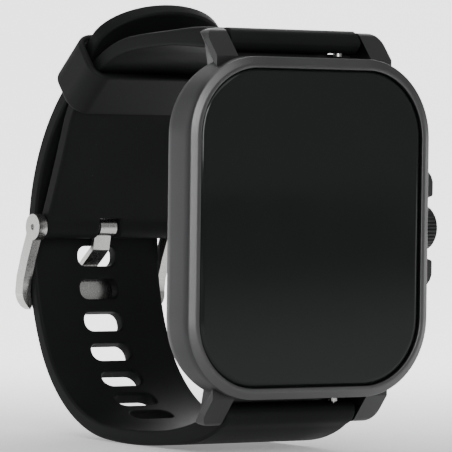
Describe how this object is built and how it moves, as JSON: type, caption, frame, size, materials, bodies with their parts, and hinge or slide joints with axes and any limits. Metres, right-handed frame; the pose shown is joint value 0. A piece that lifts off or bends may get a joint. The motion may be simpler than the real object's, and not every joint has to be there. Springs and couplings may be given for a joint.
{
  "type": "smartwatch",
  "caption": "Rounded-square smartwatch with a raised metal bezel, a press-and-turn crown, flared lugs and a soft strap fastened through its buckle and keeper.",
  "frame": {"origin": "centre of the flat sensor window that rests on the wrist", "axes": "+X towards the crown, +Y out of the window towards the wrist (the screen faces -Y), +Z towards the 12 o'clock lugs"},
  "size_m": [0.0422, 0.0583, 0.0624],
  "materials": {
    "case_metal": "satin, dark grey anodised",
    "ring_metal": "satin, dark grey, bright chamfer",
    "glass": "polished",
    "seal_rubber": "matt",
    "display": "dark, switched off",
    "flex_film": "amber film",
    "board": "solder mask",
    "cell_foil": "satin foil",
    "steel": "satin",
    "cover_plastic": "fine matt",
    "window": "polished",
    "contact_gold": "plated",
    "crown_metal": "satin, fluted",
    "strap_silicone": "soft matt",
    "buckle_steel": "satin with polished edges"
  },
  "bodies": {
    "case": {"midframe": "case_metal", "bezel_ring": "ring_metal", "cover_glass": "glass", "display_gasket": "seal_rubber", "display_panel": "display", "display_flex": "flex_film", "main_board": "board", "battery": "cell_foil", "vibration_motor": "steel", "back_cover": "cover_plastic", "back_gasket": "seal_rubber", "case_screws": "steel", "sensor_window": "window", "sensor_board": "board", "charging_contacts": "contact_gold", "side_switch": "steel"},
    "crown_slide": {"crown_plunger": "steel"},
    "crown": {"crown_knob": "crown_metal", "crown_stem": "steel", "crown_seal": "seal_rubber", "crown_clip": "steel"},
    "strap_top": {"strap_top_end": "strap_silicone", "top_bar_tube": "steel", "top_bar_tip": "steel"},
    "top_release": {"top_bar_release": "steel"},
    "strap_rear": {"strap_buckle_side": "strap_silicone", "strap_hole_side": "strap_silicone", "buckle_bar_tube": "steel", "buckle_bar_tips": "steel"},
    "strap_bottom": {"strap_bottom_end": "strap_silicone", "bottom_bar_tube": "steel", "bottom_bar_tip": "steel"},
    "bottom_release": {"bottom_bar_release": "steel"},
    "keeper": {"keeper": "strap_silicone"},
    "buckle": {"buckle_frame": "buckle_steel"},
    "tongue": {"buckle_tongue": "buckle_steel"}
  },
  "joints": [
    {"name": "crown_press", "type": "slide", "parent": "case", "child": "crown_slide", "axis": [-1, 0, 0], "range_m": [0, 0.0005], "stiffness_N_per_m": 500},
    {"name": "crown_turn", "type": "hinge", "parent": "crown_slide", "child": "crown", "pos_m": [0, -0.00649, 0], "axis": [1, 0, 0], "continuous": true},
    {"name": "strap_sway", "type": "hinge", "parent": "case", "child": "strap_top", "pos_m": [0, -0.0044, 0.0255], "axis": [1, 0, 0], "range_deg": [-3, 3], "stiffness_Nm_per_rad": 0.4},
    {"name": "top_flex", "type": "hinge", "parent": "strap_top", "child": "strap_rear", "pos_m": [0, 0.00958, 0.02593], "axis": [1, 0, 0], "range_deg": [-3, 3]},
    {"name": "bottom_flex", "type": "hinge", "parent": "strap_rear", "child": "strap_bottom", "pos_m": [0, 0.0061, -0.02915], "axis": [1, 0, 0], "range_deg": [-4, 4]},
    {"name": "top_release_slide", "type": "slide", "parent": "strap_top", "child": "top_release", "axis": [-1, 0, 0], "range_m": [0, 0.0012], "stiffness_N_per_m": 200},
    {"name": "bottom_release_slide", "type": "slide", "parent": "strap_bottom", "child": "bottom_release", "axis": [-1, 0, 0], "range_m": [0, 0.0012], "stiffness_N_per_m": 200},
    {"name": "keeper_slide", "type": "hinge", "parent": "strap_rear", "child": "keeper", "pos_m": [0, 0.01678, 0.0035], "axis": [1, 0, 0], "range_deg": [-3, 3]},
    {"name": "buckle_pivot", "type": "hinge", "parent": "strap_rear", "child": "buckle", "pos_m": [0, 0.04213, -0.00101], "axis": [1, 0, 0], "range_deg": [0, 3]},
    {"name": "tongue_lift", "type": "hinge", "parent": "buckle", "child": "tongue", "pos_m": [0, 0.04213, -0.00101], "axis": [1, 0, 0], "range_deg": [0, 2]}
  ],
  "couplings": [
    {"joint": "top_flex", "follows": "strap_sway", "ratio": -0.9061},
    {"joint": "bottom_flex", "follows": "strap_sway", "ratio": 1.2062}
  ]
}
